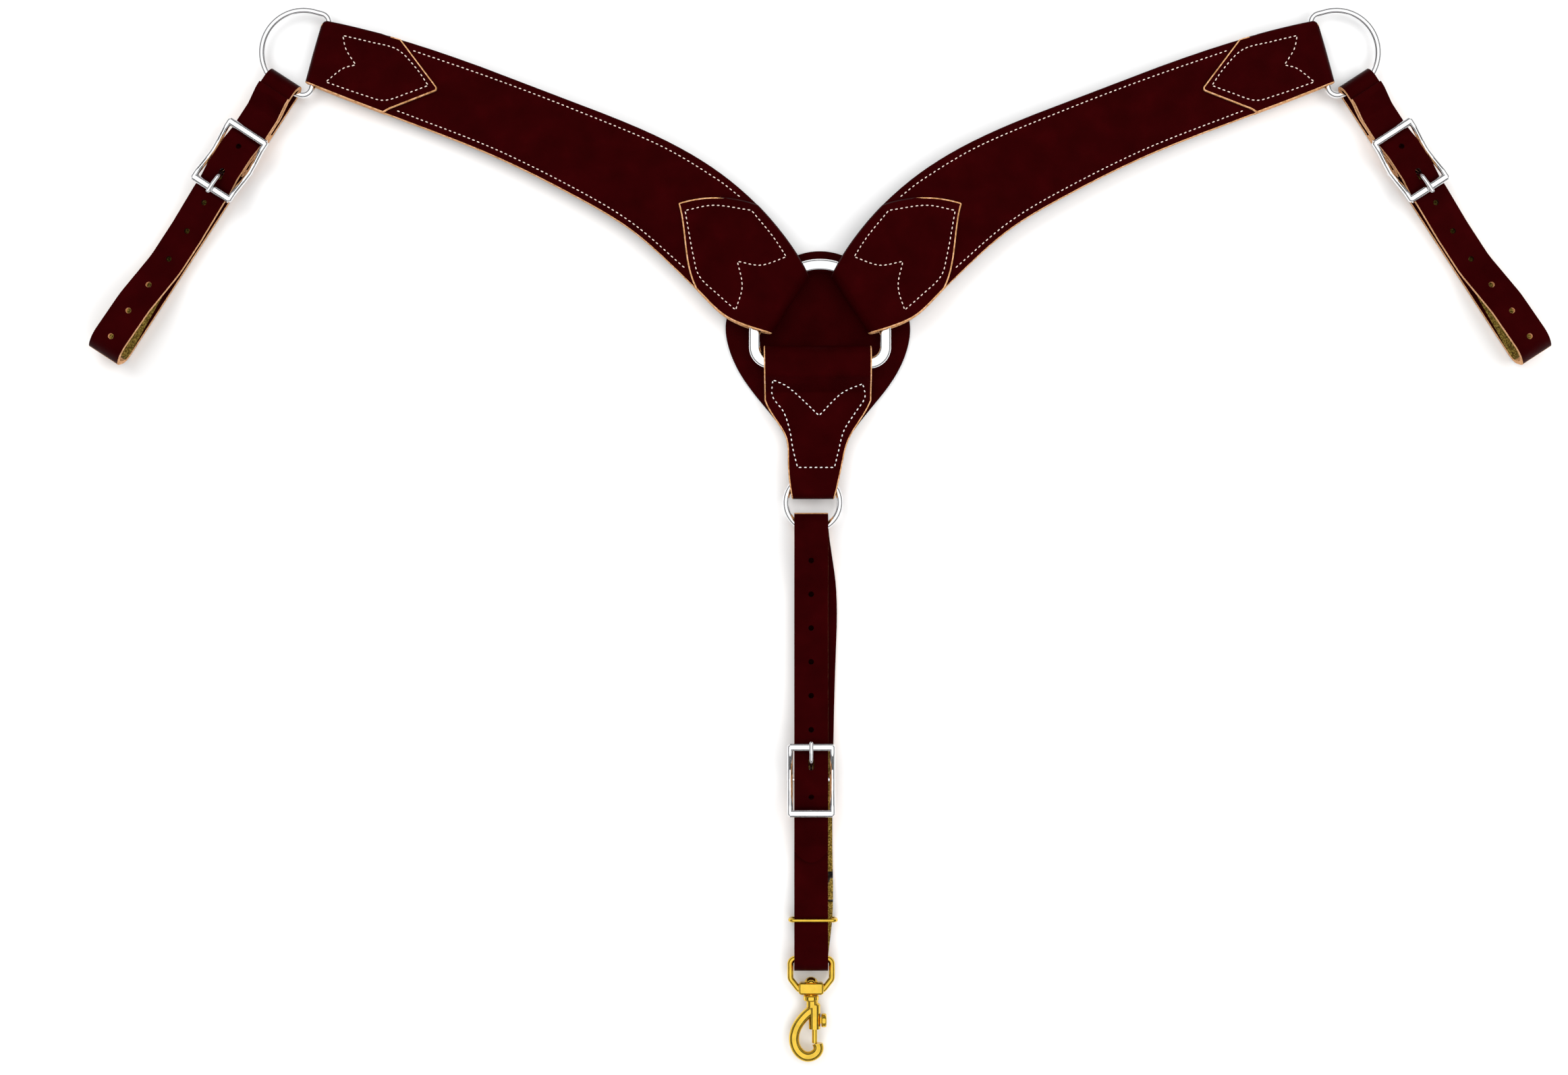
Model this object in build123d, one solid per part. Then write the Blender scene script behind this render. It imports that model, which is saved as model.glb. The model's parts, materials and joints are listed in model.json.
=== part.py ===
"""Western breastplate laid flat: two stitched body straps, a centre ring on a shield-shaped
backing, two buckled tugs on dees, and a buckled centre strap with a swivel bolt snap.
Millimetres. X across the chest, Y towards the dees, Z up from the table."""
from build123d import *
import math
import os

os.makedirs("parts", exist_ok=True)

# Leather
PLY = 3.0               # each of the two plies of a body strap
CHAPE_T = 2.8           # chapes and connector
STRAP_T = 3.3           # one-inch straps
STRAP_W = 25.4
SHIELD_T = 2.6
GAP = 0.3               # air between layers that only rest on each other
THREAD_W = 0.8
THREAD_H = 0.35
# Hardware
RING_W = 8.8            # centre ring bar, across
RING_H = 5.6            # centre ring bar, thickness
RING_Z = 14.0
DEE_WIRE = 4.9
DEE_R = 31.55           # centreline radius of the dee's bow
DEE_LEG = 13.0
SMALL_R = 20.35         # centreline radius of the small ring
SMALL_WIRE = 4.7
SMALL_Z = 9.6
BAR_R = 2.0             # buckle centre bar
FRAME_R = 2.1           # buckle side rail
FRAME_W = 36.0
FRAME_L = 56.0
TONGUE_R = 1.55
HOLE_R = 2.1
HOLE_PITCH = 25.4
# Inner chapes: the folds round the slanted bars of the centre ring
BAR_X, BAR_Y = -33.7, 180.3
AX, AY = -0.836, 0.549  # from the left slanted bar out along the left body strap
FOLD_H = 5.8            # inner half height of a fold round the centre ring
NOSE = 13.5             # bar centre to the outside of the fold
TILT = 0.73             # the body straps slope down to the table, degrees
# Dees
DEE_X, DEE_Y = -375.6, 360.3
DEE_TURN = 15.0
# Tugs
TUG_TURN = 33.0         # off the Y axis
TUG_Z = 5.4
TUG_BAR = 66.8          # dee wire to buckle centre bar
TUG_END = 175.0         # buckle centre bar to the bottom loop
# Centre strap
STRAP_X = -6.6
STRAP_Z = 0.3
CB_Y = -182.8           # buckle centre bar
SMALL_X, SMALL_Y = -5.3, 25.2
EYE_Y = -317.7
EYE_Z = 8.0
KEEPER_Y = -288.4


def save(shape, name):
    shape = Compound(children=list(shape.solids())) if len(shape.solids()) > 1 else shape.solids()[0]
    shape.label = name
    export_step(shape, "parts/" + name + ".step")
    box = shape.bounding_box()
    print(name, round(shape.volume), [round(v, 1) for v in (*box.min, *box.max)])


def side_plane(x, y, dx, dy):
    """Upright plane through (x, y): local X runs along (dx, dy), local Y is up."""
    return Plane(origin=(x, y, 0), x_dir=(dx, dy, 0), z_dir=(dy, -dx, 0))


def band(plane, points, radii, thick, half_width):
    """A strip of leather: a filleted path in a side plane, given thickness and width."""
    path = FilletPolyline(*points, radius=radii)
    return extrude(plane * trace(path, thick), half_width, both=True)


def beside(points, radii, d):
    """The same filleted path moved sideways by d, to the left when d is positive."""
    moved = []
    turned = []
    normals = []
    for (x0, y0), (x1, y1) in zip(points, points[1:]):
        run = math.hypot(x1 - x0, y1 - y0)
        normals.append(((y0 - y1) / run, (x1 - x0) / run))
    for i, (x, y) in enumerate(points):
        n0 = normals[max(i - 1, 0)]
        n1 = normals[min(i, len(normals) - 1)]
        k = d / (1 + n0[0] * n1[0] + n0[1] * n1[1])
        moved.append((x + k * (n0[0] + n1[0]), y + k * (n0[1] + n1[1])))
        if 0 < i < len(points) - 1:
            left = n0[0] * n1[1] - n0[1] * n1[0] > 0
            turned.append(radii[i - 1] - d if left else radii[i - 1] + d)
    return moved, turned


def skin(plane, points, radii, side, half_width):
    """A thin layer lying on the outside of a strip of leather, for its stitches."""
    d = side * (CHAPE_T / 2 + THREAD_H / 2 + 0.02)
    over, turned = beside(points, radii, d)
    return band(plane, over, turned, THREAD_H, half_width)


def prism(edges, low=-20, high=70):
    face = make_face(edges)
    return extrude(Plane.XY.offset(low) * face, high - low, dir=(0, 0, 1))


def block(x0, x1, y0, y1, z0, z1):
    return Pos((x0 + x1) / 2, (y0 + y1) / 2, (z0 + z1) / 2) * Box(x1 - x0, y1 - y0, z1 - z0)


def seam(edges, low, high):
    """Upright wall one thread wide along a row of stitches."""
    wall = Plane.XY.offset(low) * trace(edges, THREAD_W)
    return extrude(wall, high - low, dir=(0, 0, 1))


def on_skin(edges, low, high, skin):
    """Stitches lying on a curved leather face."""
    found = []
    for e in edges:
        hit = seam([e], low, high) & skin
        if hit:
            found += hit.solids()
    return found


def joined(solids):
    whole = solids[0]
    for s in solids[1:]:
        whole = whole + s
    return whole


def mirrored(shape):
    return shape.mirror(Plane.YZ)


# ---------------------------------------------------------------- body straps

def arm_edges():
    top = Spline(
        (-373, 386.9), (-303.5, 369.0), (-242.3, 347.6), (-181.1, 324.1),
        (-119.9, 298.6), (-79.1, 275.1), (-38.3, 238.9), (-8.2, 194.6))
    fold = Line((-8.2, 194.6), (-36.7, 151.2))
    low = Spline(
        (-36.7, 151.2), (-54.1, 156.3), (-71.5, 164.5), (-88.2, 180.0), (-110, 201.5),
        (-140.3, 228.2), (-181.1, 253.2), (-242.3, 283.8), (-303.5, 308.3), (-387.6, 340.9))
    end = Line((-387.6, 340.9), (-373, 386.9))
    return top, fold, low, end


def arm_prism():
    solid = prism(list(arm_edges()))
    corner = solid.edges().filter_by(Axis.Z).sort_by(Axis.Y)[-1]
    return fillet(corner, 5)


def arm_slab(low, high):
    """Plies stop short of both bars and lie between the leaves of the two chapes."""
    body = arm_prism() & block(-420, 20, 100, 420, low, high)
    inner = Plane(origin=(BAR_X, BAR_Y, 0), x_dir=(-AY, AX, 0), z_dir=(AX, AY, 0))
    body &= extrude(inner.offset(17) * Rectangle(400, 200), 420)
    u = math.radians(DEE_TURN)
    outer = Plane(origin=(DEE_X, DEE_Y, 0), z_dir=(math.cos(u), -math.sin(u), 0))
    return body & extrude(outer.offset(8) * Rectangle(400, 400), 420)


def chape_path(nose, inner_h, taper, length):
    """Leather folded round a bar: two leaves that close down on the plies."""
    out = inner_h + CHAPE_T / 2
    flat = PLY + CHAPE_T / 2
    r = out - 0.02
    end = CHAPE_T / 2 - nose
    if inner_h < PLY + 0.1:
        pts = [(length, RING_Z + out), (end, RING_Z + out), (end, RING_Z - out), (length, RING_Z - out)]
        return pts, [r, r]
    pts = [
        (length, RING_Z + flat), (taper + 14, RING_Z + flat), (taper, RING_Z + out), (end, RING_Z + out),
        (end, RING_Z - out), (taper, RING_Z - out), (taper + 14, RING_Z - flat), (length, RING_Z - flat)]
    return pts, [8, 8, r, r, 8, 8]


def inner_leaf():
    edge = [
        ThreePointArc((-106.1, 249.1), (-75, 253.4), (-36, 243.0)),
        Polyline((-36, 243.0), (20, 243.0), (20, 130), (-78, 130), (-84, 173.0)),
        Spline((-84, 173.0), (-94.6, 188.5), (-100.5, 212.9), (-106.1, 249.1))]
    return prism(edge)


def outer_leaf():
    edge = Polyline(
        (-400, 400), (-336, 400), (-313.1, 370.8), (-285.6, 334.3), (-323, 319.8),
        (-336, 312), (-400, 312), close=True)
    solid = prism([edge])
    tip = solid.edges().filter_by(Axis.Z).sort_by(Axis.X)[-1]
    return fillet(tip, 2.5)


def inner_side():
    return side_plane(BAR_X, BAR_Y, AX, AY)


def outer_side():
    u = math.radians(DEE_TURN)
    return side_plane(DEE_X, DEE_Y, math.cos(u), -math.sin(u))


def inner_path():
    return chape_path(NOSE, FOLD_H, 7, 115)


def outer_path():
    return chape_path(PLY + 0.02 + CHAPE_T, PLY + 0.02, 0, 115)


def inner_chape():
    return band(inner_side(), *inner_path(), CHAPE_T, 60)


def outer_chape():
    return band(outer_side(), *outer_path(), CHAPE_T, 60)


def outer_seam():
    return [
        Spline((-357.5, 375.0), (-337.7, 370.3), (-317, 364.6), (-303, 351), (-293.4, 337.4)),
        Spline((-293.4, 337.4), (-308, 332), (-326, 326.4), (-342, 330.3), (-370.3, 340.2)),
        Spline((-370.3, 340.2), (-358, 349.9), (-347.9, 353.0)),
        Spline((-347.9, 353.0), (-355.0, 364.5), (-357.5, 375.0))]


def inner_seam():
    return [
        Spline((-101, 243.5), (-79.1, 247.3), (-51.3, 243.5)),
        Spline((-51.3, 243.5), (-35.3, 223.9), (-25.3, 208.4)),
        Spline((-25.3, 208.4), (-43.9, 202.5), (-61.8, 205.3)),
        Spline((-61.8, 205.3), (-58.3, 186.6), (-63.1, 168.9)),
        Spline((-63.1, 168.9), (-75.5, 179.8), (-90, 193.9), (-94.9, 210), (-101, 243.5))]


def edge_seams():
    top = Spline(
        (-306, 364.4), (-242.3, 342.0), (-181.1, 318.4), (-119.9, 292.6), (-79.1, 268.5), (-59.5, 253.6))
    low = Spline(
        (-101, 200.5), (-140.3, 234.2), (-181.1, 259.0), (-242.3, 289.5), (-303.5, 313.8), (-318, 319.3))
    return [top, low]


def body_stitching():
    top = RING_Z + PLY
    rows = Sketch() + [seam([e], top, top + THREAD_H) for e in edge_seams()]
    marks = [s for s in rows.solids()]
    on_leaf = top + CHAPE_T
    skin_in = skin(inner_side(), *inner_path(), -1, 60) & block(-200, 20, 100, 300, RING_Z, 60)
    skin_out = skin(outer_side(), *outer_path(), -1, 60) & block(-420, -250, 300, 420, RING_Z, 60)
    marks += on_skin(inner_seam(), on_leaf - 1, on_leaf + 9, skin_in)
    marks += on_skin(outer_seam(), on_leaf - 1, on_leaf + 9, skin_out)
    return joined(marks)


def lowered(shape):
    """Slope the left strap about its own slanted bar until the tug lies on the table."""
    return shape.rotate(Axis((BAR_X, BAR_Y, RING_Z), (-AY, AX, 0)), TILT)


# ---------------------------------------------------------------- ring, shield, connector

def center_ring():
    p0 = (-22.7, 197.0)
    p1 = (-49.0, 157.0)
    p2 = (-49.0, 129.8)
    left = FilletPolyline((-11, 201.9), p0, p1, p2, (0, 129.8), radius=[7, 15, 12])
    right = FilletPolyline((11, 201.9), (22.7, 197.0), (49, 157), (49, 129.8), (0, 129.8), radius=[7, 15, 12])
    top = ThreePointArc((-11, 201.9), (0, 203.4), (11, 201.9))
    path = Pos(0, 0, RING_Z) * Wire([*top.edges(), *left.edges(), *right.edges()])
    across = Plane(origin=(0, 129.8, RING_Z), x_dir=(0, 1, 0), z_dir=(1, 0, 0))
    section = across * RectangleRounded(RING_W, RING_H, 2.4)
    return sweep(section, path=path, transition=Transition.ROUND)


def shield():
    edge = [
        ThreePointArc((-24, 208.5), (0, 215), (24, 208.5)),
        Spline((24, 208.5), (50, 188), (67.5, 163), (66.5, 143), (55, 117.5), (40, 98), (22, 74)),
        Line((22, 74), (-24, 74)),
        Spline((-24, 74), (-42, 98), (-57, 117.5), (-69, 143), (-70.5, 163), (-52, 188), (-24, 208.5))]
    return extrude(make_face(edge), SHIELD_T, dir=(0, 0, 1))


def connector_paths():
    """One piece: over the ring's bottom bar, stitched to itself, and round the small ring."""
    top = FOLD_H + CHAPE_T / 2
    low = 3.2 + CHAPE_T / 2
    y_top = 142.8 - CHAPE_T / 2
    y_low = 27.8 + CHAPE_T / 2
    z_hi = 10.2
    z_lo = 7.1
    upper = [
        (84, z_hi), (108, z_hi), (121, RING_Z + top), (y_top, RING_Z + top), (y_top, RING_Z - top),
        (121, RING_Z - top), (108, z_lo), (84, z_lo)]
    lower = [
        (84.5, z_hi), (62, z_hi), (49, SMALL_Z + low), (y_low, SMALL_Z + low), (y_low, SMALL_Z - low),
        (49, SMALL_Z - low), (62, z_lo), (84.5, z_lo)]
    return (upper, [6, 6, top - 0.02, top - 0.02, 6, 6]), (lower, [6, 6, low - 0.02, low - 0.02, 6, 6])


def connector_band():
    side = side_plane(0, 0, 0, 1)
    upper, lower = connector_paths()
    return band(side, *upper, CHAPE_T, 60) + band(side, *lower, CHAPE_T, 60)


def connector_prism():
    edge = [
        Line((-42.3, 150), (-41.6, 102)),
        Spline((-41.6, 102), (-34, 88), (-25.4, 73), (-24.2, 56), (-23.0, 40), (-18.9, 20)),
        Line((-18.9, 20), (8.2, 20)),
        Spline((8.2, 20), (13.8, 40), (17.2, 56), (21.5, 72), (31, 88), (38.6, 102)),
        Line((38.6, 102), (38.6, 150)),
        Line((38.6, 150), (-42.3, 150))]
    return prism(edge)


def connector_seam():
    return [
        Spline((-35.4, 117.0), (-22, 110.3), (-0.7, 90.5)),
        Spline((-0.7, 90.5), (16, 107), (32, 114.2)),
        Spline((32, 114.2), (33.6, 104), (26, 92.0), (17.9, 79.0), (13.8, 63.5), (10.8, 51.5)),
        Line((10.8, 51.5), (-16.9, 51.5)),
        Spline((-16.9, 51.5), (-20.4, 66), (-22.6, 79.0), (-27.2, 93.0), (-35.6, 105), (-35.4, 117.0))]


def connector_stitching():
    side = side_plane(0, 0, 0, 1)
    upper, lower = connector_paths()
    top = skin(side, *upper, 1, 60) & block(-60, 60, 84.5, 150, 9, 40)
    low = skin(side, *lower, -1, 60) & block(-60, 60, 20, 84.5, 9, 40)
    return joined(on_skin(connector_seam(), 9, 40, top) + on_skin(connector_seam(), 9, 40, low))


def small_ring():
    return Pos(SMALL_X, SMALL_Y, SMALL_Z) * Torus(SMALL_R, SMALL_WIRE / 2)


def dee():
    """Straight bar, short legs and a round bow, in its own frame: U away from the strap."""
    k = DEE_R
    path = FilletPolyline(
        (0, 0), (0, k), (DEE_LEG, k), radius=[7])
    bow = ThreePointArc((DEE_LEG, k), (DEE_LEG + k, 0), (DEE_LEG, -k))
    back = FilletPolyline((DEE_LEG, -k), (0, -k), (0, 0), radius=[7])
    wire = Wire([*path.edges(), *bow.edges(), *back.edges()])
    section = Plane(origin=(0, 0, 0), z_dir=(0, 1, 0)) * Circle(DEE_WIRE / 2)
    ring = sweep(section, path=wire, transition=Transition.ROUND)
    return Pos(DEE_X, DEE_Y, RING_Z) * (Rot(0, 0, 180 - DEE_TURN) * ring)


# ---------------------------------------------------------------- buckled straps

def levels(z0):
    """Heights of the layers at a buckle, from the table side up."""
    step = STRAP_T + GAP
    back = z0 + STRAP_T / 2
    turn = back + step
    bar = turn + STRAP_T / 2 + BAR_R + 0.25
    over = bar + BAR_R + 0.25 + STRAP_T / 2
    return {
        "back": back, "turn": turn, "bar": bar, "over": over, "billet": over + step,
        "chape": turn + step, "flat": turn + 2 * step,
        "frame": turn + 2 * step + STRAP_T / 2 + 0.8 + 2.25}


def strap_path(z0, tip, billet_loop, chape_loop):
    """Centreline from the billet tip, through the buckle, round both loops, to the turn-back."""
    v = levels(z0)
    turn_r = BAR_R + 0.25 + STRAP_T / 2
    pts = tip + [((-22, v["flat"]), 8), ((-10, v["billet"]), 8), ((9, v["billet"]), 8), ((21, v["flat"]), 8)]
    pts += [((31, v["flat"]), 8)] + billet_loop + chape_loop
    pts += [((-21, v["chape"]), 8), ((-6.5, v["over"]), 6)]
    pts += [((turn_r, v["over"]), turn_r - 0.02), ((turn_r, v["turn"]), turn_r - 0.02), ((-33, v["turn"]), 0)]
    return [p for p, _ in pts], [r for _, r in pts[1:-1]]


def tug_path():
    v = levels(TUG_Z)
    hold = RING_Z + 5.3 + STRAP_T / 2
    tip = [((-62, hold + 3.5), 0), ((-57.5, hold + 3.2), 6), ((-44, v["flat"]), 8)]
    end = TUG_END - STRAP_T / 2
    low = v["back"]
    bottom = [
        ((62, low + 7), 30), ((92, low + 7), 30), ((128, low + 21), 30), ((end - 9, low + 24), 14),
        ((end, low + 15), 8), ((end - 4, low), 7)]
    nose = -TUG_BAR - 5.3 - STRAP_T / 2
    r = 5.3 + STRAP_T / 2 - 0.02
    top = [((nose, RING_Z - r - 0.02), r), ((nose, hold), r), ((-60, hold), 5), ((-46.5, v["chape"]), 6)]
    return strap_path(TUG_Z, tip, bottom, top)


def center_path():
    v = levels(STRAP_Z)
    tip = [((-62.3, v["chape"]), 0), ((-50, v["chape"] + 0.4), 8), ((-38, v["flat"]), 8)]
    nose = 17.6 - CB_Y - STRAP_T / 2
    r = 6 + STRAP_T / 2
    low = v["back"]
    ring_end = [
        ((70, v["turn"] + 3), 40), ((140, v["turn"] + 3), 30), ((170, SMALL_Z + r), 12),
        ((nose, SMALL_Z + r), r - 0.02), ((nose, SMALL_Z - r), r - 0.02)]
    bump = 3.2
    eye = EYE_Y - CB_Y
    q = 4.4 + STRAP_T / 2
    tail = eye - 9.0 + STRAP_T / 2
    snap_end = [
        ((-70, low), 30), ((-90, low + bump), 20), ((-120, low + bump), 12), ((-131, EYE_Z - q), 8),
        ((tail, EYE_Z - q), q - 0.02), ((tail, EYE_Z + q), q - 0.02), ((-130, EYE_Z + q), 6),
        ((-116, v["turn"] + bump), 8), ((-93, v["turn"] + bump), 12), ((-76, v["turn"]), 20),
        ((-48, v["turn"]), 8), ((-36, v["chape"]), 6)]
    return strap_path(STRAP_Z, tip, ring_end, snap_end)


def buckle_place(x, y, dx, dy):
    """Local X to the right of the tongue, local Y along the tongue, origin on the table below the bar."""
    return Plane(origin=(x, y, 0), x_dir=(dy, -dx, 0), z_dir=(0, 0, 1))


def tug_dir():
    u = math.radians(TUG_TURN)
    return -math.sin(u), -math.cos(u)


def tug_wire():
    """Where the tug's top loop crosses the dee's bow."""
    u = math.radians(DEE_TURN)
    dx, dy = tug_dir()
    cx = DEE_X - DEE_LEG * math.cos(u)
    cy = DEE_Y + DEE_LEG * math.sin(u)
    return cx + dx * DEE_R, cy + dy * DEE_R


def tug_bar():
    x, y = tug_wire()
    dx, dy = tug_dir()
    return x + dx * TUG_BAR, y + dy * TUG_BAR


def tongue_slot(z0):
    """Slot in the chape fold that the tongue works in."""
    v = levels(z0)
    slot = extrude(SlotCenterToCenter(12, 5.4, rotation=90), 12, dir=(0, 0, 1))
    return Pos(0, 3.0, v["bar"] - 6) * slot


def tongue_hole(v):
    """The billet hole in use, drawn a little long by the tongue."""
    slot = extrude(SlotCenterToCenter(5.0, 2 * HOLE_R, rotation=90), 13, dir=(0, 0, 1))
    return Pos(0, 12.2, v["flat"] - 6.5) * slot


def rounded_tip(place, b, z_low):
    """Trims the billet to a blunt point."""
    h = STRAP_W / 2 + 1
    point = Spline((h, b + 12.5), (6, b + 2.0), (0, b), (-6, b + 2.0), (-h, b + 12.5))
    cut = [point, Polyline((-h, b + 12.5), (-h, b - 3), (h, b - 3), (h, b + 12.5))]
    return place.location * (Pos(0, 0, z_low) * extrude(make_face(cut), 12, dir=(0, 0, 1)))


def tug_strap():
    x, y = tug_bar()
    dx, dy = tug_dir()
    pts, radii = tug_path()
    body = band(side_plane(x, y, dx, dy), pts, radii, STRAP_T, STRAP_W / 2)
    place = buckle_place(x, y, dx, dy)
    v = levels(TUG_Z)
    body -= place.location * tongue_slot(TUG_Z)
    body -= place.location * tongue_hole(v)
    for b in (37, 62, 87):
        body -= place.location * (Pos(0, b, v["flat"] - 1.2) * Cylinder(HOLE_R, 14))
    for b in (111, 135, 158):
        body -= place.location * (Pos(0, b, v["flat"] + 8) * Cylinder(HOLE_R, 20))
    body -= place.location * (Pos(0, -12.4, v["billet"] + 0.7) * Cylinder(HOLE_R, 7))
    return body


def center_strap():
    pts, radii = center_path()
    place = buckle_place(STRAP_X, CB_Y, 0, 1)
    v = levels(STRAP_Z)
    body = band(side_plane(STRAP_X, CB_Y, 0, 1), pts, radii, STRAP_T, 25)
    h = STRAP_W / 2
    split = STRAP_Z + STRAP_T + GAP / 2
    front = Pos(STRAP_X, CB_Y + 30, 0) * Box(STRAP_W, 400, 120)
    right = Spline((h, 202), (h, 196), (h + 5.6, 150), (h + 5.8, 90), (h + 4, 20), (h + 3.5, -60),
                   (h + 2.8, -110), (h, -138), (h, -146))
    left = Spline((-h, -146), (-h, -138), (-h + 2.8, -110), (-h + 3.5, -60), (-h + 4, 20),
                  (-h + 5.8, 90), (-h + 5.6, 150), (-h, 196), (-h, 202))
    run = make_face([right, Line((h, -146), (-h, -146)), left, Line((-h, 202), (h, 202))])
    back = Pos(STRAP_X, CB_Y, -10) * extrude(run, 60, dir=(0, 0, 1))
    zone = Polyline(
        (-160, -10), (215, -10), (215, split), (-69, split), (-89, split + 3.2), (-121, split + 3.2),
        (-131, split), (-160, split), close=True)
    zone = extrude(side_plane(STRAP_X, CB_Y, 0, 1) * make_face(zone), 40, both=True)
    lower = (body & zone) & back
    upper = (body - zone) & front
    body = lower + upper
    body -= place.location * tongue_slot(STRAP_Z)
    body -= place.location * tongue_hole(v)
    for i in range(6):
        b = 12.2 + HOLE_PITCH * (i + 1)
        body -= place.location * (Pos(0, b, v["flat"] - 0.7) * Cylinder(HOLE_R, 15))
    body -= place.location * (Pos(0, -12.4, v["billet"] + 0.7) * Cylinder(HOLE_R, 7))
    body -= rounded_tip(place, -62.3, v["chape"] - 1.9)
    return body


def buckle_frame(v):
    """Side rails dip to the centre bar; the end bars stand above the billet."""
    w = FRAME_W / 2 - FRAME_R
    n = FRAME_L / 2 - 3.2
    low = v["bar"] + 2.0
    top = v["frame"]
    mid = (top + low) / 2
    path = FilletPolyline(
        (w, n, top), (w, n - 5, top), (w, n / 3, mid - 1), (w, 0, low), (w, -n / 3, mid - 1), (w, 5 - n, top),
        (w, -n, top), radius=[5, 9, 7, 9, 5])
    section = Plane(origin=(w, n, top), z_dir=(0, 1, 0)) * Circle(FRAME_R)
    right = sweep(section, path=path)
    frame = right + right.mirror(Plane.YZ)
    for y in (n, -n):
        end = Plane(origin=(-w, y, top), x_dir=(0, 1, 0), z_dir=(1, 0, 0)) * Ellipse(3.1, 2.25)
        frame += extrude(end, 2 * w)
        for x in (w, -w):
            frame += Pos(x, y, top) * Sphere(FRAME_R + 0.05)
    for x in (w, -w):
        frame += Pos(x, 0, v["bar"] + 0.9) * Cylinder(FRAME_R + 0.08, 3.4)
    return frame - buckle_bar(v)


def buckle_bar(v):
    w = FRAME_W / 2 - FRAME_R
    bar = Plane(origin=(-w - 1.2, 0, v["bar"]), z_dir=(1, 0, 0)) * Circle(BAR_R)
    return extrude(bar, 2 * w + 2.4)


def buckle_tongue(v):
    """Eye round the centre bar, then a prong up through the billet and onto the end bar."""
    n = FRAME_L / 2 - 3.2
    top = v["frame"] + 2.25 + TONGUE_R + 0.12
    bar = v["bar"]
    eye = Plane.YZ * (Circle(BAR_R + 2.1) - Circle(BAR_R + 0.06))
    eye = Pos(-1.7, 0, bar) * extrude(eye, 3.4)
    path = FilletPolyline(
        (0, 3.2, bar + 0.4), (0, 8.5, bar + 1.5), (0, 14.5, top - 1.4), (0, n - 4, top), (0, n + 3.2, top),
        radius=[2.5, 3, 3])
    section = Plane(origin=(0, 3.2, bar + 0.4), z_dir=(0, 5.3, 1.1)) * Circle(TONGUE_R)
    prong = sweep(section, path=path)
    end = Pos(0, n + 3.2, top) * Sphere(TONGUE_R)
    return eye + prong + end


# ---------------------------------------------------------------- keeper and snap

def keeper():
    v = levels(STRAP_Z)
    low = STRAP_Z + 3.2 - 0.25 - 1.45
    high = v["turn"] + 3.2 + STRAP_T / 2 + 0.25 + 1.45
    cx = STRAP_X + 1.4
    w = 17.2
    return cx, low, high, w


def strap_keeper():
    cx, low, high, w = keeper()
    flat = RectangleRounded(2 * w, high - low, 3.2)
    loop = Plane.XZ * flat
    path = loop.face().outer_wire()
    start = path.position_at(0)
    section = Plane(origin=start, z_dir=path.tangent_at(0)) * Circle(1.45)
    ring = sweep(section, path=path, transition=Transition.ROUND)
    return Pos(cx, KEEPER_Y, (low + high) / 2) * ring


def snap_eye():
    """Stirrup: a straight bar in the strap, two legs and a drilled base."""
    x = STRAP_X
    w = 15.6
    y0 = EYE_Y
    z = EYE_Z
    path = FilletPolyline(
        (x + w, y0, z), (x + w, y0 - 15, z), (x + 9, y0 - 23.5, z), (x - 9, y0 - 23.5, z),
        (x - w, y0 - 15, z), (x - w, y0, z), radius=4, close=True)
    path = Wire(path.edges())
    section = Plane(origin=path.position_at(0), z_dir=path.tangent_at(0)) * Circle(2.3)
    loop = sweep(section, path=path, transition=Transition.ROUND)
    base = Pos(x, y0 - 22.2, z) * Box(19, 9.4, 8.4)
    base = fillet(base.edges(), 2.2)
    hole = Pos(x, y0 - 22.2, z) * (Rot(90, 0, 0) * Cylinder(2.45, 20))
    return loop + base - hole


SNAP_Y = EYE_Y - 22.2   # middle of the swivel base
BARREL_X = STRAP_X + 2.6
BARREL_END = -370.3
SEAT_Y = -381.0         # where the plunger meets the hook


def lying(x, y0, y1, z, r):
    """Round bar along Y."""
    return Pos(x, (y0 + y1) / 2, z) * (Rot(90, 0, 0) * Cylinder(r, abs(y1 - y0)))


def snap_hook_body():
    """Riveted swivel stem, collar, bored barrel and open hook."""
    x, y, z = STRAP_X, SNAP_Y, EYE_Z
    stem = lying(x, y + 6.5, y - 9, z, 2.4)
    head = Pos(x, y + 3.2, z) * Sphere(5.4)
    head = head & block(x - 6, x + 6, y + 4.9, y + 14, z - 6, z + 6)
    collar = lying(x, y - 5.1, y - 9.4, z, 5.9)
    collar = fillet(collar.edges(), 1.3)
    neck = lying(x + 0.8, y - 9, y - 14, z, 4.4)
    barrel = lying(BARREL_X, y - 11, BARREL_END, z, 4.4)
    barrel = fillet(barrel.edges().sort_by(Axis.Y)[-1], 2.0)
    bow = Spline(
        (BARREL_X - 1.5, -356, z), (BARREL_X - 10.5, -364.5, z), (BARREL_X - 15.4, -376.5, z),
        (BARREL_X - 12.6, -387.0, z), (BARREL_X - 5.4, -391.4, z), (BARREL_X + 1.6, -388.4, z),
        (BARREL_X + 1.4, -380.5, z))
    section = Plane(origin=bow.position_at(0), z_dir=bow.tangent_at(0)) * Ellipse(3.9, 3.4)
    hook = sweep(section, path=bow)
    body = stem + head + collar + neck + barrel + hook
    seat = block(BARREL_X - 3.6, BARREL_X + 8, SEAT_Y - 0.2, BARREL_END + 0.01, z - 6, z + 6)
    bore = lying(BARREL_X, y - 12.4, BARREL_END - 1, z, 2.06)
    slot = block(BARREL_X, BARREL_X + 8, -367.0, y - 13.2, z - 1.05, z + 1.05)
    return body - seat - bore - slot


def snap_plunger():
    rod = lying(BARREL_X, SEAT_Y, -361.2, EYE_Z, 2.0)
    neck = block(BARREL_X, BARREL_X + 5.4, -366.4, -361.8, EYE_Z - 0.85, EYE_Z + 0.85)
    return rod + neck


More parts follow.
